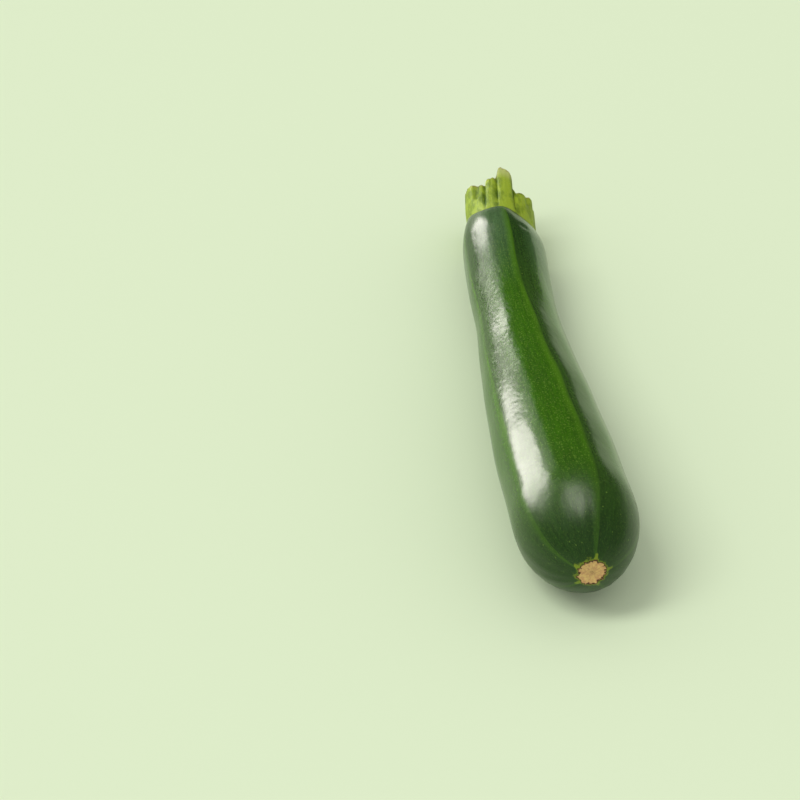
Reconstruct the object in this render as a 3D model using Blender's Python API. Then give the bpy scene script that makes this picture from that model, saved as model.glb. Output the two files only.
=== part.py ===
"""A courgette as picked and cut: one grown fruit and the stub of its ribbed stem.

It lies on a table. Its long axis runs along +X from the blossom end to the stem, it bends a little
sideways, and it rests on a small flat under its belly and another under its neck. Metres, +Z up.
The origin is the middle of the bounding box's bottom.

Places on the fruit are given by two numbers: how far along the axis they are from the blossom end,
and the angle around the axis, which is 0 on the +Y side and 90 degrees on top.
"""
import math

import bmesh
import bpy
from mathutils import Vector

# Driving dimensions of the fruit.
NECK_END = 0.1832           # from the blossom end to where the skin meets the stem, on average
DOME_LENGTH = 0.032         # how far the round of the blossom end reaches
DOME_POWER = 2.3
SCAR_RADIUS = 0.0044
RADIUS_STATIONS = (         # distance from the blossom end, radius
    (0.000, 0.0200),
    (0.025, 0.0196),
    (0.050, 0.0191),
    (0.078, 0.0179),
    (0.105, 0.0157),
    (0.125, 0.0140),
    (0.145, 0.0136),
    (0.170, 0.0142),
    (0.184, 0.0138),
    (0.215, 0.0134),
)
BEND_LENGTH = 0.195
BEND = (0.0211, 0.0322, -0.0681)    # sideways swing of the axis, as powers of the distance

# How it lies: the axis is a straight line seen from the side, lower at the neck than at the belly.
BELLY_STATION = 0.040
BELLY_AXIS_HEIGHT = 0.01905
NECK_STATION = 0.168
NECK_AXIS_HEIGHT = 0.0138

# Five main ridges with a weaker one between each pair. They wind a little around the neck and
# around the blossom end.
MAIN_RIDGES = 5
RIDGE_HEIGHT = 0.011        # as a share of the radius
WEAK_RIDGE_HEIGHT = 0.005
RIDGE_ANGLE_BELLY = math.radians(107.0)
RIDGE_ANGLE_NECK = math.radians(92.5)
RIDGE_ANGLE_TIP = math.radians(102.0)
WINDING_START = 0.080
WINDING_END = 0.185
TIP_WINDING = 0.022

# The skin ends in a slanted, gently scalloped edge around the stem.
EDGE_SLANT = 0.0042
EDGE_SCALLOP = 0.0007
SLANT_START = 0.145
SHOULDER_LENGTH = 0.013
SHOULDER_DROP = 0.130       # share of the radius lost over the shoulder

# The stem stub: uneven ribs around a core, each broken off at a height and a slant of its own.
STEM_CORE_RADIUS = 0.0102
STEM_MIDDLE_TOP = 0.0165    # height of the broken top's middle above the skin's average edge
STEM_FLARE_LENGTH = 0.010
STEM_NOTCH = 0.0012         # depth of the notch between the tops of two ribs
SEAM_GAP = 0.0003
STEM_RIBS = (               # angle and half width in degrees, how far it stands out, its height, its lean
    (25.0, 37.0, 0.0018, 0.0190, -0.0016),
    (73.0, 11.5, 0.0016, 0.0192, 0.0004),
    (99.0, 15.0, 0.0020, 0.0252, -0.0008),
    (141.0, 27.5, 0.0021, 0.0176, 0.0026),
    (191.0, 23.5, 0.0019, 0.0188, -0.0010),
    (238.0, 23.5, 0.0016, 0.0176, 0.0008),
    (287.0, 25.5, 0.0015, 0.0188, -0.0008),
    (335.0, 22.5, 0.0016, 0.0182, 0.0010),
)

# Mesh fineness.
FRUIT_SEGMENTS = 60
STEM_SEGMENTS = 90
DOME_RINGS = 12
BODY_RINGS = 22
SHOULDER_RINGS = 9
STEM_RINGS = 8
CUT_RINGS = 3


def clear_scene():
    """Remove every object of the open scene."""
    for item in list(bpy.data.objects):
        bpy.data.objects.remove(item, do_unlink=True)


def smoothstep(value):
    """Ease from 0 to 1 as value goes from 0 to 1."""
    value = min(max(value, 0.0), 1.0)
    return value * value * (3.0 - 2.0 * value)


def station_slopes(stations):
    """Slopes of a smooth curve through the stations that never overshoots them."""
    steps = [
        (after[1] - before[1]) / (after[0] - before[0])
        for before, after in zip(stations, stations[1:])
    ]
    slopes = [steps[0]]
    for left, right in zip(steps, steps[1:]):
        same_way = left * right > 0.0
        slopes.append(2.0 * left * right / (left + right) if same_way else 0.0)
    slopes.append(steps[-1])
    return slopes


RADIUS_SLOPES = station_slopes(RADIUS_STATIONS)


def profile_radius(along):
    """Radius of the fruit's smooth profile, before the dome and the shoulder are rounded off."""
    last = len(RADIUS_STATIONS) - 2
    index = 0
    while index < last and along > RADIUS_STATIONS[index + 1][0]:
        index += 1
    start, radius_a = RADIUS_STATIONS[index]
    end, radius_b = RADIUS_STATIONS[index + 1]
    width = end - start
    t = (along - start) / width
    rise_a = RADIUS_SLOPES[index] * width * t * (1.0 - t) ** 2
    rise_b = RADIUS_SLOPES[index + 1] * width * t * t * (t - 1.0)
    return radius_a + (radius_b - radius_a) * smoothstep(t) + rise_a + rise_b


def dome_factor(along):
    """Share of the radius that the rounded blossom end keeps."""
    t = min(max(along / DOME_LENGTH, 0.0), 1.0)
    return math.sqrt(1.0 - (1.0 - t) ** DOME_POWER)


def scar_station():
    """Distance from the blossom end at which the dome is as wide as the scar."""
    share = (SCAR_RADIUS / RADIUS_STATIONS[0][1]) ** 2
    return DOME_LENGTH * (1.0 - (1.0 - share) ** (1.0 / DOME_POWER))


def axis_point(along):
    """Point of the fruit's axis."""
    t = along / BEND_LENGTH
    side = BEND_LENGTH * sum(factor * t ** (power + 1) for power, factor in enumerate(BEND))
    fall = (NECK_AXIS_HEIGHT - BELLY_AXIS_HEIGHT) / (NECK_STATION - BELLY_STATION)
    return Vector((along, side, BELLY_AXIS_HEIGHT + fall * (along - BELLY_STATION)))


def around_point(along, angle, radius):
    """Point at a radius and an angle around the axis."""
    step = 0.001
    tangent = (axis_point(along + step) - axis_point(along - step)).normalized()
    left = Vector((0.0, 0.0, 1.0)).cross(tangent).normalized()
    up = tangent.cross(left)
    return axis_point(along) + radius * (math.cos(angle) * left + math.sin(angle) * up)


def ridge_angle(along):
    """Angle around the axis at which the first main ridge lies."""
    wound = min(max((along - WINDING_START) / (WINDING_END - WINDING_START), 0.0), 1.0)
    at_tip = 1.0 - smoothstep(along / TIP_WINDING)
    to_neck = (RIDGE_ANGLE_NECK - RIDGE_ANGLE_BELLY) * wound
    to_tip = (RIDGE_ANGLE_TIP - RIDGE_ANGLE_BELLY) * at_tip
    return RIDGE_ANGLE_BELLY + to_neck + to_tip


def edge_shift(turn, angle):
    """How far the skin's edge lies past its average place."""
    return EDGE_SLANT * math.cos(angle) + EDGE_SCALLOP * math.cos(MAIN_RIDGES * turn)


def ridge_factor(turn):
    """Radius factor of the ridges, for an angle measured from the first main ridge."""
    main = RIDGE_HEIGHT * math.cos(MAIN_RIDGES * turn)
    weak = WEAK_RIDGE_HEIGHT * math.cos(2 * MAIN_RIDGES * turn)
    return 1.0 + main + weak


def fruit_point(station, turn):
    """Point of the fruit's skin; stations run to NECK_END, where the skin's edge is."""
    angle = turn + ridge_angle(station)
    slant = smoothstep((station - SLANT_START) / (NECK_END - SLANT_START))
    along = station + slant * edge_shift(turn, angle)
    shoulder = 1.0 - SHOULDER_DROP * max(1.0 + (station - NECK_END) / SHOULDER_LENGTH, 0.0) ** 2
    ridges = 1.0 + (ridge_factor(turn) - 1.0) * smoothstep(along / DOME_LENGTH)
    radius = profile_radius(along) * dome_factor(along) * shoulder * ridges
    return around_point(along, angle, radius)


def rib_place(angle, rib):
    """Where an angle is on a rib: 0 on its crest, -1 and 1 at its feet, further out beyond them."""
    middle, half_width = math.radians(rib[0]), math.radians(rib[1])
    away = (angle - middle + math.pi) % (2.0 * math.pi) - math.pi
    return away / half_width


def rib_crest(angle):
    """How far the blunt ribs stand out of the core at an angle."""
    return max(rib[2] * (1.0 - min(abs(rib_place(angle, rib)), 1.0) ** 4) ** 0.6 for rib in STEM_RIBS)


def rib_top(angle):
    """Height of the stem's broken top above the skin's edge, notched where two ribs meet."""
    rib = min(STEM_RIBS, key=lambda candidate: abs(rib_place(angle, candidate)))
    place = max(min(rib_place(angle, rib), 1.0), -1.0)
    return rib[3] + rib[4] * place - STEM_NOTCH * abs(place) ** 3


def stem_radius(turn, angle, height):
    """Radius of the stem, which grows out of the shoulder and then shows its ribs."""
    grown_in = profile_radius(NECK_END) * ridge_factor(turn) * (1.0 - SHOULDER_DROP)
    ribbed = STEM_CORE_RADIUS + rib_crest(angle)
    return grown_in + (ribbed - grown_in) * smoothstep(height / STEM_FLARE_LENGTH)


def stem_point(share, turn, inward=1.0):
    """Point of the stem; share runs from its base to its top, inward shrinks it to the axis."""
    angle = turn + ridge_angle(NECK_END)
    base = NECK_END + edge_shift(turn, angle)
    height = share * rib_top(angle)
    along = base + height
    if inward < 1.0:
        middle = NECK_END + STEM_MIDDLE_TOP
        along = middle + (along - middle) * inward ** 1.5
    radius = stem_radius(turn, angle, height) * inward
    return around_point(along + SEAM_GAP, angle, radius)


def fruit_stations():
    """Stations of the fruit's rings: close together on the dome and on the shoulder."""
    first = math.acos(1.0 - scar_station() / DOME_LENGTH)
    stations = []
    for index in range(DOME_RINGS):
        bow = first + (math.pi / 2.0 - first) * index / DOME_RINGS
        stations.append(DOME_LENGTH * (1.0 - math.cos(bow)))
    shoulder_start = NECK_END - SHOULDER_LENGTH
    for index in range(BODY_RINGS):
        stations.append(DOME_LENGTH + (shoulder_start - DOME_LENGTH) * index / BODY_RINGS)
    for index in range(SHOULDER_RINGS + 1):
        stations.append(shoulder_start + SHOULDER_LENGTH * index / SHOULDER_RINGS)
    return stations


def turns(segments):
    """Angles of a ring's points, measured from the first main ridge."""
    return [2.0 * math.pi * index / segments for index in range(segments)]


def fruit_rings():
    """Rings of the fruit from the scar to the skin's edge."""
    return [[fruit_point(station, turn) for turn in turns(FRUIT_SEGMENTS)] for station in fruit_stations()]


def stem_rings():
    """Rings of the stem from its base up and over the broken top."""
    rings = []
    for index in range(STEM_RINGS + 1):
        share = index / STEM_RINGS
        rings.append([stem_point(share, turn) for turn in turns(STEM_SEGMENTS)])
    for index in range(1, CUT_RINGS + 1):
        inward = 1.0 - index / (CUT_RINGS + 1)
        rings.append([stem_point(1.0, turn, inward) for turn in turns(STEM_SEGMENTS)])
    return rings


def mean_point(points):
    """Average of some points."""
    return sum(points, Vector()) / len(points)


def lay_flat(point):
    """Flatten what would reach below the table."""
    return Vector((point.x, point.y, max(point.z, 0.0)))


def closed_mesh(name, rings, start_middle, end_middle):
    """Mesh of stacked rings, closed by a fan of triangles at each end."""
    mesh = bmesh.new()
    loops = [[mesh.verts.new(lay_flat(point)) for point in ring] for ring in rings]
    start = mesh.verts.new(start_middle)
    end = mesh.verts.new(end_middle)
    segments = len(rings[0])
    for index in range(segments):
        after = (index + 1) % segments
        mesh.faces.new((start, loops[0][after], loops[0][index]))
        mesh.faces.new((end, loops[-1][index], loops[-1][after]))
        for low, high in zip(loops, loops[1:]):
            mesh.faces.new((low[index], low[after], high[after], high[index]))
    bmesh.ops.recalc_face_normals(mesh, faces=mesh.faces)
    bmesh.ops.triangulate(mesh, faces=mesh.faces)
    data = bpy.data.meshes.new(name)
    mesh.to_mesh(data)
    mesh.free()
    data.shade_smooth()
    data.set_sharp_from_angle(angle=math.radians(50.0))
    return data


def add_piece(name, data, colour, roughness):
    """Add a mesh to the scene as an object with a material of its own."""
    material = bpy.data.materials.new(name)
    material.use_nodes = True
    shader = material.node_tree.nodes["Principled BSDF"]
    shader.inputs["Base Color"].default_value = (*colour, 1.0)
    shader.inputs["Roughness"].default_value = roughness
    shader.inputs["Metallic"].default_value = 0.0
    data.materials.append(material)
    piece = bpy.data.objects.new(name, data)
    bpy.context.scene.collection.objects.link(piece)
    return piece


def centre_on_origin(meshes):
    """Slide the meshes so that the middle of their common box is over the origin."""
    points = [vertex.co for data in meshes for vertex in data.vertices]
    middle_x = (min(point.x for point in points) + max(point.x for point in points)) / 2.0
    middle_y = (min(point.y for point in points) + max(point.y for point in points)) / 2.0
    for point in points:
        point.x -= middle_x
        point.y -= middle_y


def build():
    """Build the fruit and its stem stub."""
    clear_scene()
    body = fruit_rings()
    stub = stem_rings()
    edge_middle = axis_point(NECK_END)
    seam = Vector((SEAM_GAP, 0.0, 0.0))
    fruit = closed_mesh("fruit", body, mean_point(body[0]), edge_middle)
    stem = closed_mesh("stem", stub, edge_middle + seam, mean_point(stub[-1]))
    centre_on_origin([fruit, stem])
    add_piece("fruit", fruit, (0.030, 0.075, 0.020), 0.30)
    add_piece("stem", stem, (0.300, 0.400, 0.060), 0.55)


build()
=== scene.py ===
"""The looks of a courgette that lies on a pale floor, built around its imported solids.

Two pieces stand for the two solids: the fruit, a ridged dark green body with a waxy skin and the corky
scar of its blossom, and the stem, a stub of ribbed stalk that was cut and broken off. Both are grown
from one form, so the stem's ribs run on into the fruit's shoulder. Lengths are in metres, +Z is up,
and +X runs from the blossom end to the stem.

Two numbers give a place on the form: its distance along the axis from the blossom end, and its angle
around the axis, which is 0 on the +Y side and 90 degrees on top. A turn is an angle measured from the
first main ridge instead.
"""

import logging
import math
from collections.abc import Sequence
from dataclasses import dataclass, field
from enum import Enum
from typing import Any

import bpy
import numpy as np
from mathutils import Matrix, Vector


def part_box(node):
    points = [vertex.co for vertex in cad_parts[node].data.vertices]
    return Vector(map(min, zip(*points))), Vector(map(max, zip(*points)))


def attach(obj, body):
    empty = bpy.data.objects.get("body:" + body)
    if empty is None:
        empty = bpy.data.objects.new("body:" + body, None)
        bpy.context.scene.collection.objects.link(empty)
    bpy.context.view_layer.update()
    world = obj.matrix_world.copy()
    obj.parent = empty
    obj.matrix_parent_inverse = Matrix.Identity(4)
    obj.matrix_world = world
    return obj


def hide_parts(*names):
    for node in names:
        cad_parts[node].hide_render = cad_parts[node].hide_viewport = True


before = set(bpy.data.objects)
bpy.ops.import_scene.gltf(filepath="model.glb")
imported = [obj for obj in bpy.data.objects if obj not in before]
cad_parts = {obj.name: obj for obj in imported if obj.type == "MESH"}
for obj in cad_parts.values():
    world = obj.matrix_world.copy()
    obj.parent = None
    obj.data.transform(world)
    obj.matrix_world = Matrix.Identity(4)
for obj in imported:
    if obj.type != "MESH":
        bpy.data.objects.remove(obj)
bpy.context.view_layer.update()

LOG = logging.getLogger("courgette")
Grid = np.ndarray
MM = 0.001
FULL_TURN = 2.0 * math.pi

# Settings that many nodes share. A smooth MapRange takes a value, two limits, and what it gives at each.
SMOOTH = {"interpolation_type": "SMOOTHSTEP"}
TIMES = {"operation": "MULTIPLY"}
PLUS = {"operation": "ADD"}
MINUS = {"operation": "SUBTRACT"}
WRAP = {"operation": "FLOORED_MODULO"}
COLOUR = {"data_type": "RGBA", "output": 2}
SHARE, BELOW, ABOVE = 0, 6, 7       # a colour mix's inputs: the share, its colour at 0, its colour at 1


class Body(Enum):
    """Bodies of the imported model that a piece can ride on."""

    ROOT = "root"


class Slot(Enum):
    """Material slots of the record."""

    SKIN = "skin"
    STALK = "stalk"


class SeenBy(Enum):
    """Which rays a lamp is seen by, so that light and reflection can be set apart."""

    MATT = "matt"
    GLOSS = "gloss"


def linear(code: str) -> tuple[float, float, float, float]:
    """Turn an sRGB hex colour into linear light.

    Args:
        code: The colour as "#RRGGBB".

    Returns:
        Red, green, blue and an alpha of 1.
    """
    shares = [int(code[start:start + 2], 16) / 255.0 for start in (1, 3, 5)]
    red, green, blue = (s / 12.92 if s <= 0.04045 else ((s + 0.055) / 1.055) ** 2.4 for s in shares)
    return (red, green, blue, 1.0)


def towards(bearing: float, elevation: float) -> Vector:
    """Direction at a bearing from +X, turning to +Y, and an elevation, both in degrees."""
    turn, rise = math.radians(bearing), math.radians(elevation)
    return Vector((math.cos(turn) * math.cos(rise), math.sin(turn) * math.cos(rise), math.sin(rise)))


def turned(angle: Grid, place: float) -> Grid:
    """Signed angle, between half a turn either way, from a place that is given in degrees."""
    return (angle - math.radians(place) + math.pi) % FULL_TURN - math.pi


def ease(value: Grid) -> Grid:
    """Smooth step from 0 to 1 as value goes from 0 to 1."""
    value = np.clip(value, 0.0, 1.0)
    return value * value * (3.0 - 2.0 * value)


def add_node(
    tree: bpy.types.NodeTree,
    kind: str,
    inputs: Sequence[Any] | dict[Any, Any] = (),
    output: int | str = 0,
    **settings: Any,
) -> Any:
    """Add a node to a tree, with its settings and what its inputs hold.

    Args:
        tree: The node tree.
        kind: The node's type, without its "ShaderNode" prefix.
        inputs: Values, or sockets that feed the node, in its inputs' order or by name or number.
        output: Name or number of the output that is wanted.
        **settings: The node's own properties.

    Returns:
        That output's socket, or None for a node that has no outputs.
    """
    node = tree.nodes.new("ShaderNode" + kind)
    for name, value in settings.items():
        setattr(node, name, value)
    for key, value in inputs.items() if isinstance(inputs, dict) else enumerate(inputs):
        if isinstance(value, bpy.types.NodeSocket):
            tree.links.new(value, node.inputs[key])
        else:
            node.inputs[key].default_value = value
    return node.outputs[output] if node.outputs else None


def blotches(tree: bpy.types.NodeTree, place: Any, length: float, width: float, detail: float) -> Any:
    """Draw a pattern of soft blotches.

    Args:
        tree: The node tree.
        place: Socket of the place, in millimetres, with x along the courgette.
        length: Length of a blotch along the courgette, in millimetres.
        width: Width of a blotch across it, in millimetres.
        detail: How many finer layers of blotches lie on the first.

    Returns:
        The pattern's socket, from 0 to 1.
    """
    scaled = add_node(tree, "VectorMath", (place, (1.0 / length, 1.0 / width, 1.0 / width)), **TIMES)
    return add_node(tree, "TexNoise", {"Vector": scaled, "Scale": 1.0, "Detail": detail})


@dataclass(frozen=True)
class FruitForm:
    """The courgette's form: its axis, its profile, its ridges and the edge of its skin."""

    neck_end: float = 0.1832
    dome_length: float = 0.032
    dome_power: float = 2.3
    scar_radius: float = 0.0044
    radius_stations: tuple[tuple[float, float], ...] = (
        (0.000, 0.0200),
        (0.025, 0.0196),
        (0.050, 0.0191),
        (0.078, 0.0179),
        (0.105, 0.0157),
        (0.125, 0.0140),
        (0.145, 0.0136),
        (0.170, 0.0142),
        (0.184, 0.0138),
        (0.215, 0.0134),
    )
    rounding: float = 0.009
    bend_length: float = 0.195
    bend: tuple[float, float, float] = (0.0211, 0.0322, -0.0681)
    belly_station: float = 0.040
    belly_axis_height: float = 0.01905
    neck_station: float = 0.168
    neck_axis_height: float = 0.0138
    main_ridges: int = 5
    ridge_height: float = 0.011
    weak_ridge_height: float = 0.005
    ridge_angle_belly: float = math.radians(107.0)
    ridge_angle_neck: float = math.radians(92.5)
    ridge_angle_tip: float = math.radians(102.0)
    winding: tuple[float, float] = (0.080, 0.185)
    tip_winding: float = 0.022
    edge_slant: float = 0.0042
    edge_scallop: float = 0.0007
    slant_start: float = 0.145
    shoulder_length: float = 0.013
    shoulder_drop: float = 0.130

    def profile(self, along: Grid) -> Grid:
        """Follow the profile: straight runs between the stations, rounded by averaging.

        Args:
            along: Distances along the axis.

        Returns:
            The radii there.
        """
        distances, radii = np.array(self.radius_stations).T
        shifts = np.linspace(-self.rounding, self.rounding, 9)
        return np.mean([np.interp(along + shift, distances, radii) for shift in shifts], axis=0)

    def dome(self, along: Grid) -> Grid:
        """Share of the radius that the rounded blossom end keeps."""
        t = np.clip(along / self.dome_length, 0.0, 1.0)
        return np.sqrt(1.0 - (1.0 - t) ** self.dome_power)

    def scar_station(self) -> float:
        """Distance from the blossom end at which the dome is as wide as the scar."""
        share = (self.scar_radius / self.radius_stations[0][1]) ** 2
        return self.dome_length * (1.0 - (1.0 - share) ** (1.0 / self.dome_power))

    def axis(self, along: Grid) -> Grid:
        """Find points on the axis, which bends sideways and falls a little towards the neck.

        Args:
            along: Distances along it.

        Returns:
            The points.
        """
        t = along / self.bend_length
        side = self.bend_length * sum(factor * t ** (power + 1) for power, factor in enumerate(self.bend))
        fall = (self.neck_axis_height - self.belly_axis_height) / (self.neck_station - self.belly_station)
        height = self.belly_axis_height + fall * (along - self.belly_station)
        return np.stack([along, side, height], axis=-1)

    def place(self, along: Grid, angle: Grid, radius: Grid) -> Grid:
        """Find points around the axis.

        Args:
            along: Distances along the axis.
            angle: Angles around it.
            radius: Distances from it.

        Returns:
            The points, before they are set down over the frame's origin.
        """
        step = 1.0 * MM
        tangent = self.axis(along + step) - self.axis(along - step)
        tangent /= np.linalg.norm(tangent, axis=-1, keepdims=True)
        left = np.cross([0.0, 0.0, 1.0], tangent)
        left /= np.linalg.norm(left, axis=-1, keepdims=True)
        up = np.cross(tangent, left)
        spoke = np.cos(angle)[..., None] * left + np.sin(angle)[..., None] * up
        return self.axis(along) + radius[..., None] * spoke

    def ridge_angle(self, along: Grid) -> Grid:
        """Find the first main ridge, which winds a little around the neck and the blossom end.

        Args:
            along: Distances along the axis.

        Returns:
            The ridge's angles there.
        """
        start, end = self.winding
        share = np.clip((along - start) / (end - start), 0.0, 1.0)
        wound = (self.ridge_angle_neck - self.ridge_angle_belly) * share
        at_tip = 1.0 - ease(along / self.tip_winding)
        return self.ridge_angle_belly + wound + (self.ridge_angle_tip - self.ridge_angle_belly) * at_tip

    def edge_shift(self, turn: Grid, angle: Grid) -> Grid:
        """How far the skin's slanted, scalloped edge lies past its average place."""
        return self.edge_slant * np.cos(angle) + self.edge_scallop * np.cos(self.main_ridges * turn)

    def ridges(self, turn: Grid) -> Grid:
        """Find how much the main and the weak ridges add to the radius, or take from it.

        Args:
            turn: Angles from the first main ridge.

        Returns:
            Shares of the radius.
        """
        main = self.ridge_height * np.cos(self.main_ridges * turn)
        weak = self.weak_ridge_height * np.cos(2 * self.main_ridges * turn)
        return main + weak

    def skin(self, station: Grid, turn: Grid) -> tuple[Grid, Grid, Grid]:
        """Find the skin's smooth surface.

        Args:
            station: Distances that run to neck_end, where the skin's edge is.
            turn: Angles from the first main ridge.

        Returns:
            Distance along the axis, angle around it and radius.
        """
        angle = turn + self.ridge_angle(station)
        slant = ease((station - self.slant_start) / (self.neck_end - self.slant_start))
        along = station + slant * self.edge_shift(turn, angle)
        into_shoulder = np.maximum(1.0 + (station - self.neck_end) / self.shoulder_length, 0.0)
        drop = self.shoulder_drop * into_shoulder ** 2
        ridges = 1.0 + self.ridges(turn) * ease(along / self.dome_length)
        return along, angle, self.profile(along) * self.dome(along) * (1.0 - drop) * ridges

    def setting_down(self) -> Vector:
        """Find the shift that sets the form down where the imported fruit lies.

        Returns:
            The shift.
        """
        station, turn = np.meshgrid(
            np.linspace(self.scar_station(), self.neck_end, 90),
            np.linspace(0.0, FULL_TURN, 120),
            indexing="ij",
        )
        points = self.place(*self.skin(station, turn)).reshape(-1, 3)
        low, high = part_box("fruit")
        middle = (points[:, 1].min() + points[:, 1].max()) / 2.0
        return Vector((low.x - points[:, 0].min(), (low.y + high.y) / 2.0 - middle, 0.0))


@dataclass
class Sheet:
    """A closed sheet of stacked rings, with numbers stored on its points for its material."""

    name: str
    rings: list[Grid] = field(default_factory=list)
    marks: dict[str, list[Grid]] = field(default_factory=dict)

    def add(self, points: Grid, **marks: Grid) -> None:
        """Stack more rings.

        Args:
            points: Their points, as rows of rings.
            **marks: One number a point, or one for all, under the name that the material reads.
        """
        self.rings.append(points)
        for name, values in marks.items():
            self.marks.setdefault(name, []).append(np.broadcast_to(values, points.shape[:2]))

    def arc(self) -> Grid:
        """Measure how far each ring is from the first end, over the surface.

        Returns:
            One distance a ring.
        """
        points = np.concatenate(self.rings)
        steps = np.linalg.norm(np.diff(points, axis=0), axis=-1).mean(axis=1)
        first = np.linalg.norm(points[0] - points[0].mean(axis=0), axis=-1).mean()
        return first + np.concatenate([[0.0], np.cumsum(steps)])

    def build(self, shift: Vector, arc_span: float) -> bpy.types.Object:
        """Turn the rings into a mesh object.

        Args:
            shift: How far everything is moved, to where it lies.
            arc_span: Surface distance that makes the UV map's full height.

        Returns:
            The object, closed by a fan at each end, shaded smooth, with a UV map named Skin.
        """
        points = np.concatenate(self.rings)
        rows, columns = points.shape[:2]
        flat = points.reshape(-1, 3) + np.array(shift)
        flat[:, 2] = np.maximum(flat[:, 2], 0.0)
        ends = np.array([flat[:columns].mean(axis=0), flat[-columns:].mean(axis=0)])
        index = np.arange(rows * columns).reshape(rows, columns)
        after = np.roll(index, -1, axis=1)
        quads = np.stack([index[:-1], index[1:], after[1:], after[:-1]], axis=-1).reshape(-1, 4)
        start, end = rows * columns, rows * columns + 1
        first_fan = [(start, index[0, c], after[0, c]) for c in range(columns)]
        last_fan = [(end, after[-1, c], index[-1, c]) for c in range(columns)]
        mesh = bpy.data.meshes.new(self.name)
        mesh.from_pydata(np.concatenate([flat, ends]).tolist(), [], quads.tolist() + first_fan + last_fan)
        self._map(mesh, rows, columns, arc_span)
        for name, values in self.marks.items():
            grid = np.concatenate(values)
            numbers = np.concatenate([grid.ravel(), [grid[0].mean(), grid[-1].mean()]])
            mesh.attributes.new(name, "FLOAT", "POINT").data.foreach_set("value", numbers)
        mesh.shade_smooth()
        mesh.validate()
        piece = bpy.data.objects.new(self.name, mesh)
        bpy.context.scene.collection.objects.link(piece)
        return piece

    def _map(self, mesh: bpy.types.Mesh, rows: int, columns: int, arc_span: float) -> None:
        """Lay out the UV map: turns run across it, and distance over the surface runs up it.

        Args:
            mesh: The sheet's mesh.
            rows: Number of rings.
            columns: Number of points in a ring.
            arc_span: Surface distance that makes the map's full height.
        """
        height = self.arc() / arc_span
        row, column = np.meshgrid(np.arange(rows - 1), np.arange(columns), indexing="ij")
        corners = [(row, column), (row + 1, column), (row + 1, column + 1), (row, column + 1)]
        quads = np.stack([np.stack([c / columns, height[r]], axis=-1) for r, c in corners], axis=2)
        across = np.arange(columns) / columns
        step = 1.0 / columns
        fans = []
        for tip, rim, way in ((0.0, height[0], 1.0), (height[-1], height[-1], -1.0)):
            left, right = (across, across + step) if way > 0 else (across + step, across)
            fan = np.stack([across + step / 2, np.full(columns, tip), left, np.full(columns, rim),
                            right, np.full(columns, rim)], axis=-1)
            fans.append(fan.ravel())
        layer = mesh.uv_layers.new(name="Skin")
        layer.data.foreach_set("uv", np.concatenate([quads.ravel(), *fans]))


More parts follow.
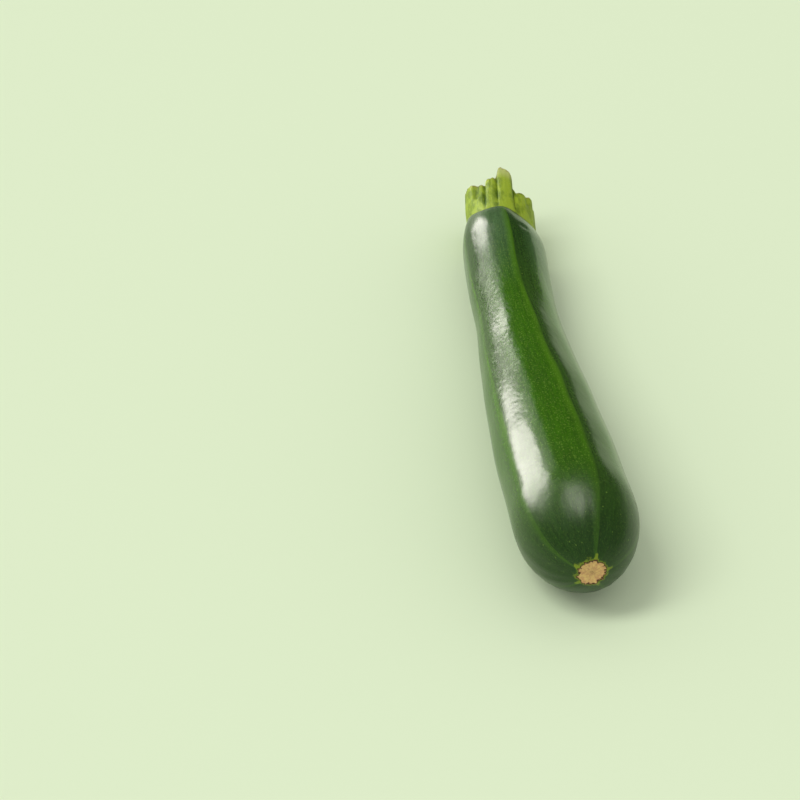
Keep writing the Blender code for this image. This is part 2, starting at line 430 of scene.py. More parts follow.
@dataclass(frozen=True)
class WaxySkin:
    """Courgette rind, as grown: a thin waxy cuticle over dark green skin, satin, with faint wrinkles.

    The wax gives the eye broad soft highlights with a mottled heart. The green varies in bands between the
    ridges and in fine streaks along the fruit, and small pale corky pores fleck it. On the neck the pale
    bands carry a painted reflection, a greyed green that stands for the waxy sheen.
    """

    deep: str = "#2C4B12"
    field: str = "#325E02"
    ridge: str = "#48740C"
    # A darker green towards the blossom end and on the neck's dark bands.
    darker_end_green: str = "#1E3B11"
    # A greyed green on the neck's pale bands: a painted reflection of the waxy sheen.
    painted_neck_sheen: str = "#46623E"
    fleck: str = "#83A640"
    halo: str = "#75871C"
    cork: str = "#E2BE7C"
    cork_shade: str = "#C8966A"
    crack: str = "#4A2812"
    arc_span: float = 0.25
    radius_mm: float = 18.0
    wrinkled_side: float = math.radians(-52.0)
    roughness: float = 0.19
    worn_roughness: float = 0.26
    cork_roughness: float = 0.85
    dustiness: float = 0.12
    ior: float = 1.38
    wrinkle_depth: float = 0.034 * MM
    dimple_depth: float = 0.055 * MM
    cork_depth: float = 0.35 * MM

    def dress(self, piece: bpy.types.Object, form: FruitForm) -> None:
        """Give a piece this finish.

        Args:
            piece: The fruit, with its UV map.
            form: The form, for its ridges and its scar.
        """
        material = bpy.data.materials.new("courgette_rind_waxy")
        material.use_nodes = True
        tree = material.node_tree
        tree.nodes.clear()
        uv = add_node(tree, "UVMap", uv_map="Skin")
        across, up = add_node(tree, "SeparateXYZ", (uv,)).node.outputs[:2]
        turn = add_node(tree, "Math", (across, FULL_TURN), **TIMES)
        arc = add_node(tree, "Math", (up, self.arc_span / MM), **TIMES)
        grain = self._grain(tree, turn, arc)
        green = self._green(tree, across, arc, grain, form)
        colour, scar = self._scar(tree, green, turn, arc, grain, form)
        wear = self._wear(tree, turn, arc, grain)
        shader = add_node(tree, "BsdfPrincipled", {
            "Base Color": colour,
            "Roughness": self._roughness(tree, scar, arc, wear),
            "IOR": self.ior,
            "Normal": self._relief(tree, scar, grain, wear),
        })
        add_node(tree, "OutputMaterial", (shader,))
        piece.data.materials.append(material)

    def _grain(self, tree: bpy.types.NodeTree, turn: Any, arc: Any) -> Any:
        """Lay out the space that every pattern is drawn in: a straightened fruit, in millimetres.

        Args:
            tree: The material's node tree.
            turn: Turn in radians.
            arc: Distance over the surface, in millimetres.

        Returns:
            Socket of the point on that fruit.
        """
        point = [arc]
        for wave in ("COSINE", "SINE"):
            share = add_node(tree, "Math", (turn,), operation=wave)
            point.append(add_node(tree, "Math", (share, self.radius_mm), **TIMES))
        return add_node(tree, "CombineXYZ", point)

    def _green(self, tree: bpy.types.NodeTree, across: Any, arc: Any, grain: Any,
               form: FruitForm) -> Any:
        """Colour the green skin.

        Args:
            tree: The material's node tree.
            across: Share of a full turn.
            arc: Distance over the surface, in millimetres.
            grain: Point on the straightened fruit.
            form: The form, for the number of ridges.

        Returns:
            The colour's socket.
        """
        wander = blotches(tree, grain, 45.0, 14.0, 1.0)
        wander = add_node(tree, "MapRange", (wander, 0.2, 0.8, -0.03, 0.03), **SMOOTH)
        phase = add_node(tree, "Math", (across, float(form.main_ridges), wander), operation="MULTIPLY_ADD")
        colour, lit = self._bands(tree, phase, arc, grain)
        colour = self._streaks(tree, colour, grain)
        colour = self._ridge_lines(tree, colour, phase, arc, grain)
        return self._flecks(tree, colour, grain, lit)

    def _bands(self, tree: bpy.types.NodeTree, phase: Any, arc: Any, grain: Any) -> tuple[Any, Any]:
        """Lay the bands between the ridges, which fade towards the blossom end and the neck.

        On the neck the pale bands take a greyed green, a painted reflection of the waxy sheen.

        Args:
            tree: The material's node tree.
            phase: Place between the ridges, which goes up by 1 from each main ridge to the next.
            arc: Distance over the surface, in millimetres.
            grain: Point on the straightened fruit.

        Returns:
            The colour, and a mask that is 1 where a band is at its palest.
        """
        sector = add_node(tree, "Math", (phase, 1.0), **WRAP)
        pale_side = add_node(tree, "MapRange", (sector, 0.15, 0.55), **SMOOTH)
        pale_edge = add_node(tree, "MapRange", (sector, 1.0, 0.97), **SMOOTH)
        pale = add_node(tree, "Math", (pale_side, pale_edge), **TIMES)
        blossom_end = add_node(tree, "MapRange", (arc, 14.0, 62.0), **SMOOTH)
        neck_end = add_node(tree, "MapRange", (arc, 205.0, 130.0), **SMOOTH)
        body = add_node(tree, "Math", (blossom_end, neck_end), **TIMES)
        blotch = blotches(tree, grain, 26.0, 6.0, 3.0)
        blotch = add_node(tree, "MapRange", (blotch, 0.30, 0.60, 0.72, 1.0), **SMOOTH)
        lit = add_node(tree, "Math", (add_node(tree, "Math", (pale, body), **TIMES), blotch), **TIMES)
        deep, pale_green = linear(self.deep), linear(self.field)
        darker_end_green, painted_sheen_green = linear(self.darker_end_green), linear(self.painted_neck_sheen)
        colour = add_node(tree, "Mix", {SHARE: lit, BELOW: deep, ABOVE: pale_green}, **COLOUR)
        # Darker green towards the blossom end.
        tip = add_node(tree, "MapRange", (arc, 42.0, 8.0, 0.0, 0.85), **SMOOTH)
        colour = add_node(tree, "Mix", {SHARE: tip, BELOW: colour, ABOVE: darker_end_green}, **COLOUR)
        # On the neck the dark bands take the darker green, and the pale bands a greyed green that is a
        # painted reflection of the waxy sheen.
        painted_neck_sheen = add_node(tree, "Mix", {SHARE: pale, BELOW: darker_end_green, ABOVE: painted_sheen_green}, **COLOUR)
        neck = add_node(tree, "MapRange", (arc, 140.0, 180.0, 0.0, 0.75), **SMOOTH)
        return add_node(tree, "Mix", {SHARE: neck, BELOW: colour, ABOVE: painted_neck_sheen}, **COLOUR), lit

    def _streaks(self, tree: bpy.types.NodeTree, colour: Any, grain: Any) -> Any:
        """Shade the green with fine streaks along the fruit and with a mottle.

        The skin's cells would be too fine to show, so the mottle is drawn about a millimetre wide.

        Args:
            tree: The material's node tree.
            colour: The green's socket.
            grain: Point on the straightened fruit.

        Returns:
            The shaded colour's socket.
        """
        streak = blotches(tree, grain, 14.0, 0.7, 3.0)
        streak = add_node(tree, "MapRange", (streak, 0.30, 0.70, 0.88, 1.13), **SMOOTH)
        mottle = blotches(tree, grain, 1.1, 0.7, 2.0)
        mottle = add_node(tree, "MapRange", (mottle, 0.30, 0.70, 0.86, 1.15), **SMOOTH)
        shade = add_node(tree, "Math", (streak, mottle), **TIMES)
        return add_node(tree, "VectorMath", {0: colour, "Scale": shade}, operation="SCALE")

    def _ridge_lines(self, tree: bpy.types.NodeTree, colour: Any, phase: Any, arc: Any,
                     grain: Any) -> Any:
        """Draw a paler line on each main ridge, soft on one side, broken, and faint near the blossom end.

        Args:
            tree: The material's node tree.
            colour: The green's socket.
            phase: Place between the ridges, which goes up by 1 from each main ridge to the next.
            arc: Distance over the surface, in millimetres.
            grain: Point on the straightened fruit.

        Returns:
            Socket of the colour with the lines.
        """
        line = add_node(tree, "Math", (phase, 0.5), **PLUS)
        line = add_node(tree, "Math", (add_node(tree, "Math", (line, 1.0), **WRAP), 0.5), **MINUS)
        share = add_node(tree, "MapRange", (line, -0.13, -0.03), **SMOOTH)
        for value, low, high, start, end in (
            (line, 0.030, 0.000, 0.0, 1.0),
            (blotches(tree, grain, 12.0, 3.0, 2.0), 0.25, 0.6, 0.4, 1.0),
            (arc, 75.0, 40.0, 0.70, 0.30),
        ):
            factor = add_node(tree, "MapRange", (value, low, high, start, end), **SMOOTH)
            share = add_node(tree, "Math", (share, factor), **TIMES)
        return add_node(tree, "Mix", {SHARE: share, BELOW: colour, ABOVE: linear(self.ridge)}, **COLOUR)

    def _flecks(self, tree: bpy.types.NodeTree, colour: Any, grain: Any, lit: Any) -> Any:
        """Scatter the pale pores: fine ones everywhere, and a few that are up to 0.6 mm across.

        The fine ones are drawn with a grain of half a millimetre, coarser than they grow, so they show.

        Args:
            tree: The material's node tree.
            colour: The green's socket.
            grain: Point on the straightened fruit.
            lit: Mask that is 1 where a band is at its palest.

        Returns:
            Socket of the colour with the pores.
        """
        fine = add_node(tree, "MapRange", (blotches(tree, grain, 0.55, 0.42, 1.0), 0.54, 0.72), **SMOOTH)
        share = add_node(tree, "MapRange", (lit, 0.0, 0.7, 0.10, 0.30), **SMOOTH)
        share = add_node(tree, "Math", (fine, share), **TIMES)
        colour = add_node(tree, "Mix", {SHARE: share, BELOW: colour, ABOVE: linear(self.fleck)}, **COLOUR)
        cells = add_node(tree, "TexVoronoi", {"Vector": grain, "Scale": 0.55}).node.outputs
        chance = add_node(tree, "SeparateColor", (cells["Color"],))
        size = add_node(tree, "MapRange", (chance, 0.35, 1.0, 0.0, 0.17), **SMOOTH)
        inner = add_node(tree, "Math", (size, cells["Distance"]), **MINUS)
        dot = add_node(tree, "MapRange", (inner, -0.02, 0.08, 0.0, 0.40), **SMOOTH)
        return add_node(tree, "Mix", {SHARE: dot, BELOW: colour, ABOVE: linear(self.fleck)}, **COLOUR)

    def _scar(self, tree: bpy.types.NodeTree, green: Any, turn: Any, arc: Any, grain: Any,
              form: FruitForm) -> tuple[Any, Any]:
        """Paint the corky blossom scar, the crack round it and its halo, which runs into the ridges.

        Args:
            tree: The material's node tree.
            green: The green skin's colour.
            turn: Turn in radians.
            arc: Distance over the surface, in millimetres.
            grain: Point on the straightened fruit.
            form: The form, for the scar's radius.

        Returns:
            The colour, and a mask that is 1 on the cork.
        """
        edge = form.scar_radius / MM
        ragged = blotches(tree, grain, 1.6, 5.0, 3.0)
        ragged = add_node(tree, "MapRange", (ragged, 0.25, 0.75, -0.80, 0.80), **SMOOTH)
        reach = add_node(tree, "Math", (arc, ragged), **PLUS)
        rays = add_node(tree, "Math", (turn, float(form.main_ridges)), **TIMES)
        rays = add_node(tree, "Math", (rays,), operation="COSINE")
        points = add_node(tree, "MapRange", (rays, 0.78, 1.0, 0.0, 1.3), **SMOOTH)
        starry = add_node(tree, "Math", (reach, points), **MINUS)
        halo = add_node(tree, "MapRange", (starry, edge + 1.4, edge + 0.2), **SMOOTH)
        colour = add_node(tree, "Mix", {SHARE: halo, BELOW: green, ABOVE: linear(self.halo)}, **COLOUR)
        crack = add_node(tree, "MapRange", (reach, edge + 0.50, edge + 0.20), **SMOOTH)
        colour = add_node(tree, "Mix", {SHARE: crack, BELOW: colour, ABOVE: linear(self.crack)}, **COLOUR)
        worn = add_node(tree, "MapRange", (blotches(tree, grain, 1.1, 5.0, 4.0), 0.35, 0.7), **SMOOTH)
        cork, shade = linear(self.cork), linear(self.cork_shade)
        cork = add_node(tree, "Mix", {SHARE: worn, BELOW: cork, ABOVE: shade}, **COLOUR)
        scar = add_node(tree, "MapRange", (reach, edge - 0.05, edge - 0.45), **SMOOTH)
        return add_node(tree, "Mix", {SHARE: scar, BELOW: colour, ABOVE: cork}, **COLOUR), scar

    def _wear(self, tree: bpy.types.NodeTree, turn: Any, arc: Any, grain: Any) -> Any:
        """Wrinkle the skin in patches that are strongest at the waist.

        Args:
            tree: The material's node tree.
            turn: Turn in radians.
            arc: Distance over the surface, in millimetres.
            grain: Point on the straightened fruit.

        Returns:
            Socket of the wrinkles, 1 in their valleys.
        """
        side = add_node(tree, "Math", (turn, self.wrinkled_side), **MINUS)
        side = add_node(tree, "Math", (side,), operation="COSINE")
        wear = add_node(tree, "MapRange", (blotches(tree, grain, 2.8, 2.4, 1.0), 0.64, 0.34), **SMOOTH)
        for value, low, high, start, end in (
            (side, 0.70, 0.96, 0.12, 1.0),
            (arc, 40.0, 110.0, 0.55, 1.0),
            (arc, 150.0, 178.0, 1.0, 0.25),
            (blotches(tree, grain, 9.0, 5.0, 2.0), 0.3, 0.6, 0.45, 1.0),
        ):
            share = add_node(tree, "MapRange", (value, low, high, start, end), **SMOOTH)
            wear = add_node(tree, "Math", (wear, share), **TIMES)
        return wear

    def _roughness(self, tree: bpy.types.NodeTree, scar: Any, arc: Any, wear: Any) -> Any:
        """Make it satin where the wax lies, duller in its wrinkles and on the blossom end, matt on the cork.

        Args:
            tree: The material's node tree.
            scar: Mask of the cork.
            arc: Distance over the surface, in millimetres.
            wear: The wrinkles' socket.

        Returns:
            The roughness's socket.
        """
        waxed = add_node(tree, "Mix", {0: wear, 2: self.roughness, 3: self.worn_roughness})
        dusty = add_node(tree, "MapRange", (arc, 46.0, 24.0, 0.0, self.dustiness), **SMOOTH)
        waxed = add_node(tree, "Math", (waxed, dusty), **PLUS)
        return add_node(tree, "Mix", {0: scar, 2: waxed, 3: self.cork_roughness})

    def _relief(self, tree: bpy.types.NodeTree, scar: Any, grain: Any, wear: Any) -> Any:
        """Lay wrinkles, peel-like dimples and the cork's grain one on another.

        Args:
            tree: The material's node tree.
            scar: Mask of the cork.
            grain: Point on the straightened fruit.
            wear: The wrinkles' socket.

        Returns:
            The normal's socket.
        """
        cork = add_node(tree, "Math", (blotches(tree, grain, 0.5, 2.0, 4.0), scar), **TIMES)
        layers = (
            (wear, -self.wrinkle_depth),
            (blotches(tree, grain, 4.2, 2.6, 1.0), self.dimple_depth),
            (cork, self.cork_depth),
        )
        normal = None
        for height, depth in layers:
            under = {} if normal is None else {"Normal": normal}
            normal = add_node(tree, "Bump", {"Height": height, "Strength": 1.0, "Distance": depth, **under})
        return normal


@dataclass(frozen=True)
class FreshStalk:
    """Cut courgette stalk: juicy ribbed tissue with pale fibres, satin on its ribs and duller where broken.

    The crests are a pale lime and the grooves between them a deeper green, partly the stalk's own colour and
    partly painted light: a painted highlight on the crests and painted shade in the grooves. The broken top
    is paler, spotted and browned at its edges where it has dried.
    """

    # Groove and crest greens: partly the stalk's own colour, partly painted shade in the grooves and a
    # painted highlight on the crests.
    groove: str = "#3F5C00"
    crest: str = "#8FA424"
    fibre: str = "#9DB032"
    broken: str = "#B7C36C"
    dry: str = "#B7BC74"
    dried: str = "#8E7B3A"
    roughness_range: tuple[float, float] = (0.40, 0.60)
    ior: float = 1.42
    specular: float = 0.2
    glow: float = 0.12
    glow_radius: tuple[float, float, float] = (0.5, 1.0, 0.25)
    glow_depth: float = 1.2 * MM
    fibre_depth: float = 0.11 * MM
    pit_depth: float = 0.15 * MM

    def dress(self, piece: bpy.types.Object) -> None:
        """Give the stem this finish.

        Args:
            piece: The stem, with its marks.
        """
        material = bpy.data.materials.new("courgette_stalk_cut")
        material.use_nodes = True
        tree = material.node_tree
        tree.nodes.clear()
        place = add_node(tree, "TexCoord", output="Object")
        place = add_node(tree, "VectorMath", {0: place, "Scale": 1.0 / MM}, operation="SCALE")
        fibres = blotches(tree, place, 5.0, 0.35, 3.0)
        spots = blotches(tree, place, 0.8, 0.8, 2.0)
        satin, dull = self.roughness_range
        fibre = add_node(tree, "Bump", {"Height": fibres, "Strength": 1.0, "Distance": self.fibre_depth})
        relief = {"Height": spots, "Strength": 1.0, "Distance": self.pit_depth, "Normal": fibre}
        shader = add_node(tree, "BsdfPrincipled", {
            "Base Color": self._colour(tree, place, fibres, spots),
            "Roughness": add_node(tree, "MapRange", (spots, 0.3, 0.7, satin, dull), **SMOOTH),
            "IOR": self.ior,
            "Specular IOR Level": self.specular,
            "Subsurface Weight": self.glow,
            "Subsurface Radius": self.glow_radius,
            "Subsurface Scale": self.glow_depth,
            "Normal": add_node(tree, "Bump", relief),
        })
        add_node(tree, "OutputMaterial", (shader,))
        piece.data.materials.append(material)

    def _colour(self, tree: bpy.types.NodeTree, place: Any, fibres: Any, spots: Any) -> Any:
        """Paint pale fibres, a dried, spotted top, and lime crests and deeper green grooves, which are
        partly the stalk's own colour and partly a painted highlight and painted shade.

        Args:
            tree: The material's node tree.
            place: Place on the stem, in millimetres.
            fibres: The fibres' pattern.
            spots: The spots' pattern.

        Returns:
            The colour's socket.
        """
        crest, rise, reach, cut = (
            add_node(tree, "Attribute", output="Fac", attribute_name=name)
            for name in ("crest", "rise", "reach", "cut")
        )
        blotch = blotches(tree, place, 6.0, 2.4, 3.0)
        blotch = add_node(tree, "MapRange", (blotch, 0.35, 0.65, -0.38, 0.45), **SMOOTH)
        share = add_node(tree, "Math", (crest, blotch), use_clamp=True, **PLUS)
        # The crest mask paints the ribs' crests paler and their grooves darker: partly the stalk's own
        # colour, partly a painted highlight and painted shade.
        colour = add_node(tree, "Mix", {
            SHARE: share, BELOW: linear(self.groove), ABOVE: linear(self.crest),
        }, **COLOUR)
        top = add_node(tree, "MapRange", (rise, 0.86, 1.0), **SMOOTH)
        browned = add_node(tree, "MapRange", (spots, 0.40, 0.58, 0.0, 0.9), **SMOOTH)
        layers = (
            (self.fibre, add_node(tree, "MapRange", (fibres, 0.52, 0.74, 0.0, 0.45), **SMOOTH)),
            (self.dry, add_node(tree, "MapRange", (reach, 0.68, 0.92, 0.0, 0.75), **SMOOTH)),
            (self.broken, add_node(tree, "MapRange", (cut, 0.05, 0.35), **SMOOTH)),
            (self.dried, add_node(tree, "Math", (top, browned), **TIMES)),
        )
        for layer, share in layers:
            colour = add_node(tree, "Mix", {SHARE: share, BELOW: colour, ABOVE: linear(layer)}, **COLOUR)
        return colour


@dataclass(frozen=True)
class Knock:
    """A small dent from picking and packing, at a distance along the axis and an angle in degrees."""

    station: float
    angle: float
    radius: float
    depth: float

    def sink(self, along: Grid, angle: Grid, girth: Grid) -> Grid:
        """How deep the skin is sunk, where girth is the skin's own radius."""
        reach = np.hypot(along - self.station, turned(angle, self.angle) * girth) / self.radius
        return self.depth * ease(1.0 - reach)


@dataclass
class Fruit:
    """The fruit: a body of rings from the blossom scar to the lip where the skin meets the stem.

    Swells are long, low waves all over the body. Pleats are the fine folds that gather the skin at the
    blossom end, and fade out along it.
    """

    form: FruitForm
    columns: int = 240
    scar_rows: int = 14
    dome_rows: int = 70
    body_rows: int = 200
    shoulder_rows: int = 60
    scar_seed: int = 5
    scar_depth: float = 0.25 * MM
    scar_grain: float = 0.03 * MM
    scar_waves: tuple[tuple[int, float], ...] = ((3, 9.0), (5, 14.0), (7, 11.0), (11, 19.0), (16, 23.0))
    swell_seed: int = 11
    swell_count: int = 14
    swell_lengths_mm: tuple[float, float] = (22.0, 70.0)
    swell_height: float = 0.035 * MM
    pleat_height: float = 0.07 * MM
    pleat_end: float = 26.0 * MM
    lip_width: float = 0.35 * MM
    lip_depth: float = 0.70 * MM
    knocks: tuple[Knock, ...] = (
        Knock(0.171, 118.0, 3.2 * MM, 0.22 * MM),
        Knock(0.096, 172.0, 4.0 * MM, 0.15 * MM),
        Knock(0.066, 338.0, 3.5 * MM, 0.18 * MM),
        Knock(0.130, 30.0, 3.0 * MM, 0.12 * MM),
    )

    def build(self) -> bpy.types.Object:
        """Build the fruit's mesh and dress it.

        Returns:
            The finished piece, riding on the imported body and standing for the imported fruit.
        """
        form = self.form
        turn = np.linspace(0.0, FULL_TURN, self.columns, endpoint=False)
        sheet = Sheet("courgette_fruit")
        sheet.add(self._scar(turn))
        station, turns = np.meshgrid(self._stations(), turn, indexing="ij")
        along, angle, radius = form.skin(station, turns)
        sheet.add(form.place(along, angle, radius + self._unevenness(along, angle, turns)))
        sheet.add(self._lip(turn))
        finish = WaxySkin()
        piece = sheet.build(form.setting_down(), finish.arc_span)
        finish.dress(piece, form)
        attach(piece, Body.ROOT.value)
        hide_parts("fruit")
        return piece

    def _stations(self) -> Grid:
        """Space the skin's rings, closer together on the dome and on the shoulder.

        Returns:
            Their distances.
        """
        form = self.form
        first = math.acos(1.0 - form.scar_station() / form.dome_length)
        bow = np.linspace(first, math.pi / 2.0, self.dome_rows, endpoint=False)
        shoulder = form.neck_end - form.shoulder_length
        return np.concatenate([
            form.dome_length * (1.0 - np.cos(bow)),
            np.linspace(form.dome_length, shoulder, self.body_rows, endpoint=False),
            np.linspace(shoulder, form.neck_end, self.shoulder_rows),
        ])

    def _scar(self, turn: Grid) -> Grid:
        """Build the blossom scar's rings: a slightly sunken disc of rough cork.

        Args:
            turn: Angles from the first main ridge.

        Returns:
            Their points.
        """
        form = self.form
        share = np.linspace(0.05, 0.985, self.scar_rows)
        share, turns = np.meshgrid(share, turn, indexing="ij")
        rng = np.random.default_rng(self.scar_seed)
        rough = np.zeros_like(share)
        for count, beat in self.scar_waves:
            around = np.cos(count * turns + rng.uniform(0.0, FULL_TURN))
            rough += around * np.sin(beat * share + rng.uniform(0.0, FULL_TURN))
        sunk = self.scar_depth * (1.0 - share ** 6) + self.scar_grain * rough * share
        along = form.scar_station() + sunk
        angle = turns + form.ridge_angle(along)
        return form.place(along, angle, form.scar_radius * share)

    def _unevenness(self, along: Grid, angle: Grid, turn: Grid) -> Grid:
        """Find the swells, pleats and knocks that keep the body from being too regular.

        Args:
            along: Distances along the axis.
            angle: Angles around it.
            turn: Angles from the first main ridge.

        Returns:
            What they add to the radius.
        """
        rng = np.random.default_rng(self.swell_seed)
        swell = np.zeros_like(along)
        for _ in range(self.swell_count):
            waves = rng.integers(0, 5)
            length = rng.uniform(*self.swell_lengths_mm) * MM
            phase = rng.uniform(0.0, FULL_TURN, 2)
            swell += np.cos(waves * angle + phase[0]) * np.cos(FULL_TURN * along / length + phase[1])
        swell *= self.swell_height * ease((along - 4.0 * MM) / (20.0 * MM))
        pleats = np.cos(13 * turn + 2.0 * np.sin(3 * turn)) + 0.6 * np.cos(5 * turn)
        gathered = ease((along - 0.7 * MM) / (2.0 * MM)) * ease((self.pleat_end - along) / (20.0 * MM))
        girth = self.form.profile(along)
        sunk = sum(knock.sink(along, angle, girth) for knock in self.knocks)
        return swell + self.pleat_height * pleats * gathered - sunk

    def _lip(self, turn: Grid) -> Grid:
        """Build the rings that turn the skin's edge inward, as a shallow socket for the stem.

        Args:
            turn: Angles from the first main ridge.

        Returns:
            Their points.
        """
        form = self.form
        station = np.full(3, form.neck_end)
        station, turns = np.meshgrid(station, turn, indexing="ij")
        along, angle, radius = form.skin(station, turns)
        inward = np.array([0.5, 0.9, 1.0])[:, None] * self.lip_width
        down = np.array([-0.12, 0.15, 1.0])[:, None] * self.lip_depth
        return form.place(along - down, angle, radius - inward)


@dataclass(frozen=True)
class Rib:
    """A rib of the stem: its place and half width in degrees, how far it stands out, its height.

    Its lean is how much higher its broken top is at its far foot than on its crest.
    """

    angle: float
    half_width: float
    crest: float
    top: float
    lean: float

    def place(self, angle: Grid) -> Grid:
        """Where an angle is on the rib: 0 on its crest, -1 and 1 at its feet."""
        return turned(angle, self.angle) / math.radians(self.half_width)

    def bulge(self, angle: Grid) -> Grid:
        """Share of the rib's height over the core: blunt, with a narrow groove at its foot."""
        return (1.0 - np.minimum(np.abs(self.place(angle)), 1.0) ** 4) ** 0.6

    def broken_at(self, angle: Grid, notch: float) -> Grid:
        """Height of the rib's slanted top, which a notch parts from the next rib's."""
        place = np.clip(self.place(angle), -1.0, 1.0)
        return self.top + self.lean * place - notch * np.abs(place) ** 3


@dataclass(frozen=True)
class Hollow:
    """A shrunken hollow in the stem: its place and half width in degrees, where it starts, its depth."""

    angle: float
    half_width: float
    start: float
    depth: float
    fade: float = 4.0 * MM

    def sink(self, angle: Grid, height: Grid) -> Grid:
        """How deep the side is sunk."""
        across = ease(1.0 - np.abs(turned(angle, self.angle)) / math.radians(self.half_width))
        return self.depth * across * ease((height - self.start) / self.fade)


@dataclass
class Stem:
    """The stub of stalk: uneven ribs around a core, cut and broken off at uneven heights."""

    form: FruitForm
    core_radius: float = 0.0102
    middle_height: float = 0.0165
    flare_length: float = 0.010
    notch: float = 0.0012
    tear: float = 0.16 * MM
    fibre_height: float = 0.035 * MM
    fibre_counts: tuple[int, ...] = (23, 37, 52, 71)
    cut_roughness: float = 0.20 * MM
    rim_rounding: float = 0.06
    tuck: float = 0.60 * MM
    tuck_width: float = 0.40 * MM
    columns: int = 220
    side_rows: int = 80
    cut_rows: int = 34
    ribs: tuple[Rib, ...] = (
        Rib(25.0, 37.0, 0.0018, 0.0190, -0.0016),
        Rib(73.0, 11.5, 0.0016, 0.0192, 0.0004),
        Rib(99.0, 15.0, 0.0020, 0.0252, -0.0008),
        Rib(141.0, 27.5, 0.0021, 0.0176, 0.0026),
        Rib(191.0, 23.5, 0.0019, 0.0188, -0.0010),
        Rib(238.0, 23.5, 0.0016, 0.0176, 0.0008),
        Rib(287.0, 25.5, 0.0015, 0.0188, -0.0008),
        Rib(335.0, 22.5, 0.0016, 0.0182, 0.0010),
    )
    hollows: tuple[Hollow, ...] = (
        Hollow(44.0, 11.0, 0.0070, 0.0013),
        Hollow(139.0, 9.0, 0.0090, 0.0006),
        Hollow(215.0, 10.0, 0.0060, 0.0008),
        Hollow(300.0, 12.0, 0.0080, 0.0010),
    )

    def build(self) -> bpy.types.Object:
        """Build the stem's mesh and dress it.

        Returns:
            The finished piece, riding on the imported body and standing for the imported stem.
        """
        turn = np.linspace(0.0, FULL_TURN, self.columns, endpoint=False)
        sheet = Sheet("courgette_stem")
        share, turns = np.meshgrid(np.linspace(0.0, 1.0, self.side_rows), turn, indexing="ij")
        points, crest, reach = self._side(share, turns)
        sheet.add(points, crest=crest, rise=share, reach=reach, cut=0.0)
        inward, turns = np.meshgrid(np.linspace(0.985, 0.06, self.cut_rows), turn, indexing="ij")
        points, crest = self._broken(inward, turns)
        sheet.add(points, crest=crest, rise=ease(inward), reach=reach[-1] * inward, cut=1.0 - inward)
        finish = FreshStalk()
        piece = sheet.build(self.form.setting_down(), WaxySkin.arc_span)
        finish.dress(piece)
        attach(piece, Body.ROOT.value)
        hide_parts("stem")
        return piece

    def _crest(self, angle: Grid, height: Grid) -> Grid:
        """How far the ribs stand out of the core, less the hollows in their upper parts."""
        crest = np.max([rib.crest * rib.bulge(angle) for rib in self.ribs], axis=0)
        return crest - sum(hollow.sink(angle, height) for hollow in self.hollows)

    def _top(self, angle: Grid) -> Grid:
        """Find the broken top, which is the nearest rib's, with torn fibres.

        Args:
            angle: Angles around the axis.

        Returns:
            Its heights above the skin's edge.
        """
        heights = []
        for shift in np.radians([-2.0, -1.0, 0.0, 1.0, 2.0]):
            away = np.array([np.abs(rib.place(angle + shift)) for rib in self.ribs])
            tops = np.array([rib.broken_at(angle + shift, self.notch) for rib in self.ribs])
            heights.append(np.take_along_axis(tops, away.argmin(axis=0)[None], axis=0)[0])
        torn = np.cos(31 * angle + 1.0) + 0.8 * np.cos(47 * angle)
        return np.mean(heights, axis=0) + self.tear * torn

    def _fibres(self, angle: Grid, height: Grid) -> Grid:
        """Raise fine ridges along the stalk, which wander a little.

        Args:
            angle: Angles around the axis.
            height: Heights above the skin's edge.

        Returns:
            What they add to the radius.
        """
        drift = 0.6 * np.sin(height / (4.0 * MM))
        lines = sum(np.cos(count * angle + count * 0.7 + drift) for count in self.fibre_counts)
        return self.fibre_height * lines

    def _side(self, share: Grid, turn: Grid) -> tuple[Grid, Grid, Grid]:
        """Points of the stalk's side.

        Args:
            share: From 0 at the tucked-in base to 1 at the broken top.
            turn: Angles from the first main ridge.

        Returns:
            The points, how much of a rib's crest each is on, and its height as a share of the tallest rib's.
        """
        form = self.form
        angle = turn + form.ridge_angle(np.array(form.neck_end))
        base = form.neck_end + form.edge_shift(turn, angle)
        height = share * (self._top(angle) + self.tuck) - self.tuck
        _, _, edge = form.skin(np.full_like(turn, form.neck_end), turn)
        crest = self._crest(angle, height)
        grown = ease(height / self.flare_length)
        radius = (edge - self.tuck_width) * (1.0 - grown) + (self.core_radius + crest) * grown
        radius += self._fibres(angle, height) * grown
        radius *= 1.0 - self.rim_rounding * np.clip((share - 0.93) / 0.07, 0.0, 1.0) ** 2
        full = max(rib.crest for rib in self.ribs), max(rib.top for rib in self.ribs)
        return form.place(base + height, angle, radius), crest / full[0], height / full[1]

    def _broken(self, inward: Grid, turn: Grid) -> tuple[Grid, Grid]:
        """Points of the broken top, from its rim to the middle.

        Args:
            inward: Share of the rim's radius.
            turn: Angles from the first main ridge.

        Returns:
            The points, and how much of a rib's crest each is on.
        """
        form = self.form
        angle = turn + form.ridge_angle(np.array(form.neck_end))
        rim = form.neck_end + form.edge_shift(turn, angle) + self._top(angle)
        middle = form.neck_end + self.middle_height
        torn = self.cut_roughness * np.cos(9 * angle + 7.0 * inward) * np.cos(17.0 * inward + 4 * angle)
        along = middle + (rim - middle) * ease((inward - 0.25) / 0.72) + torn * inward
        crest = self._crest(angle, self._top(angle))
        radius = (1.0 - self.rim_rounding) * (self.core_radius + crest) * inward
        return form.place(along, angle, radius), crest / max(rib.crest for rib in self.ribs)


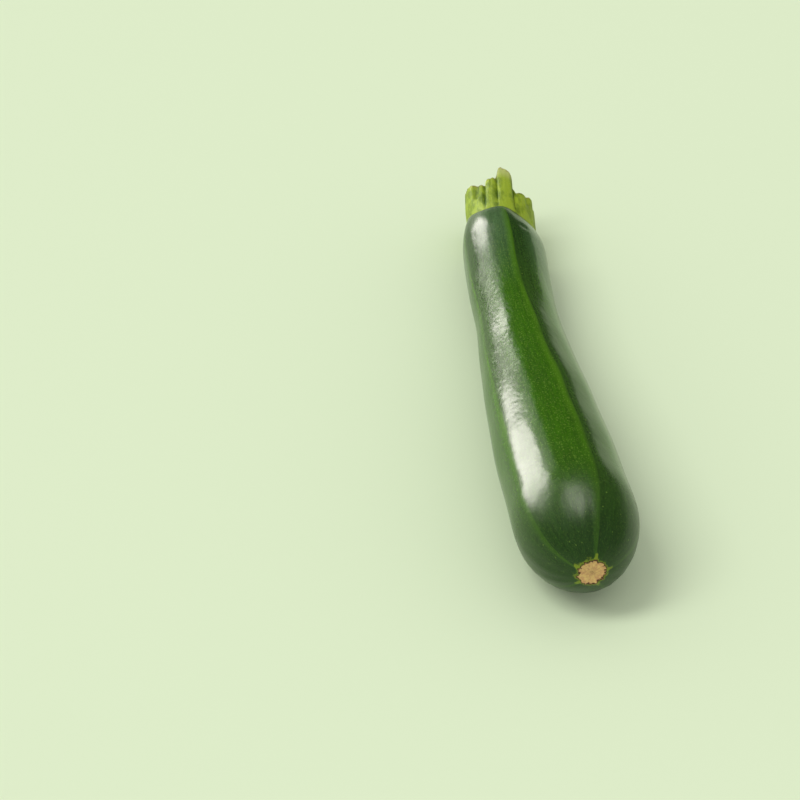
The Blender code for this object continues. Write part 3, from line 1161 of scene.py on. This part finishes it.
@dataclass(frozen=True)
class Lamp:
    """A soft lamp, placed by where it stands as seen from the point that it is turned to."""

    name: str
    bearing: float
    elevation: float
    distance: float
    width: float
    height: float
    radiance: float
    seen_by: SeenBy
    round: bool = False
    target: tuple[float, float, float] = (0.0, 0.0, 0.02)
    colour: str = "#FFFAF2"

    def build(self) -> bpy.types.Object:
        """Add the lamp, turned towards its target.

        Returns:
            The lamp's object.
        """
        light = bpy.data.lights.new(self.name, "AREA")
        light.shape = "ELLIPSE" if self.round else "RECTANGLE"
        light.size, light.size_y = self.width, self.height
        area = self.width * self.height * (math.pi / 4.0 if self.round else 1.0)
        light.energy = self.radiance * math.pi * area
        light.color = linear(self.colour)[:3]
        lamp = bpy.data.objects.new(self.name, light)
        way = towards(self.bearing, self.elevation)
        lamp.location = Vector(self.target) + self.distance * way
        lamp.rotation_euler = way.to_track_quat("Z", "Y").to_euler()
        lamp.visible_camera = False
        lamp.visible_diffuse = self.seen_by is not SeenBy.GLOSS
        lamp.visible_glossy = self.seen_by is not SeenBy.MATT
        bpy.context.scene.collection.objects.link(lamp)
        return lamp


@dataclass
class Studio:
    """The pale floor, the lamps, the surrounding light and the camera."""

    floor_half: float = 6.0
    board: str = "#DDEBC8"
    glow: str = "#FFFFFF"
    room_light: float = 0.69
    room_reflection: tuple[float, float] = (0.25, 0.05)
    lens: float = 150.0
    camera_at: tuple[float, float, float] = (-0.83660, 0.15654, 0.69270)
    camera_way: tuple[float, float, float] = (0.76981, -0.10387, -0.62976)
    lamps: tuple[Lamp, ...] = (
        Lamp("window_left", 97.0, 57.0, 8.0, 2.24, 5.20, 7.2, SeenBy.MATT, colour="#FFFFFF"),
        Lamp("softbox_left", 30.0, 20.0, 1.2, 0.60, 0.70, 1.55, SeenBy.GLOSS),
        Lamp("softbox_belly", 43.0, 16.0, 0.45, 0.27, 0.30, 14.2, SeenBy.GLOSS, True, (-0.096, 0.005, 0.03)),
        Lamp("softbox_neck", 25.0, 7.0, 0.30, 0.09, 0.17, 7.8, SeenBy.GLOSS, True, (0.097, 0.0, 0.025)),
        Lamp("dish_above", 15.0, 76.0, 1.0, 0.60, 0.60, 7.4, SeenBy.GLOSS, True, (-0.09, 0.0, 0.03)),
    )

    def build(self) -> None:
        """Build the whole studio."""
        self._floor()
        self._world()
        for lamp in self.lamps:
            lamp.build()
        self._camera()
        bpy.context.scene.view_settings.view_transform = "Standard"

    def _floor(self) -> None:
        """Lay a wide board as the floor: emulsion paint, rolled on, which gives an even matt ground."""
        mesh = bpy.data.meshes.new("floor")
        half = self.floor_half
        corners = [(-half, -half, 0.0), (half, -half, 0.0), (half, half, 0.0), (-half, half, 0.0)]
        mesh.from_pydata(corners, [], [(0, 1, 2, 3)])
        floor = bpy.data.objects.new("floor", mesh)
        material = bpy.data.materials.new("painted_board_matt")
        material.use_nodes = True
        shader = material.node_tree.nodes["Principled BSDF"]
        shader.inputs["Base Color"].default_value = linear(self.board)
        shader.inputs["Roughness"].default_value = 1.0
        shader.inputs["Specular IOR Level"].default_value = 0.0
        mesh.materials.append(material)
        bpy.context.scene.collection.objects.link(floor)

    def _world(self) -> None:
        """Fill the room with even light, and keep it dim where the waxy skin mirrors it."""
        world = bpy.data.worlds.new("studio")
        world.use_nodes = True
        tree = world.node_tree
        tree.nodes.clear()
        glossy = add_node(tree, "LightPath", output="Is Glossy Ray")
        way = add_node(tree, "TexCoord", output="Generated")
        way = add_node(tree, "SeparateXYZ", (way,), output="X")
        wall = add_node(tree, "MapRange", (way, -0.9, 0.1, *self.room_reflection))
        even = add_node(tree, "Background", (linear(self.glow), self.room_light))
        dim = add_node(tree, "Background", (linear(self.glow), wall))
        add_node(tree, "OutputWorld", (add_node(tree, "MixShader", (glossy, even, dim)),))
        bpy.context.scene.world = world

    def _camera(self) -> None:
        """Set up the camera, which looks down along the fruit from its blossom end."""
        data = bpy.data.cameras.new("camera")
        data.lens = self.lens
        data.sensor_width = 36.0
        camera = bpy.data.objects.new("camera", data)
        camera.location = self.camera_at
        camera.rotation_euler = Vector(self.camera_way).to_track_quat("-Z", "Y").to_euler()
        bpy.context.scene.collection.objects.link(camera)
        bpy.context.scene.camera = camera


def report(piece: bpy.types.Object) -> None:
    """Log a finished piece's name and size."""
    size = ", ".join(f"{side / MM:.1f}" for side in piece.dimensions)
    LOG.info("%s: %d faces, %s mm", piece.name, len(piece.data.polygons), size)


def save_sizes() -> None:
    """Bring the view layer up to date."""
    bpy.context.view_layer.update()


def main() -> None:
    """Build the studio and the courgette, and report each piece."""
    logging.basicConfig(level=logging.INFO, format="%(message)s")
    Studio().build()
    form = FruitForm()
    for part in (Fruit(form), Stem(form)):
        report(part.build())
    save_sizes()


if __name__ == "__main__":
    main()
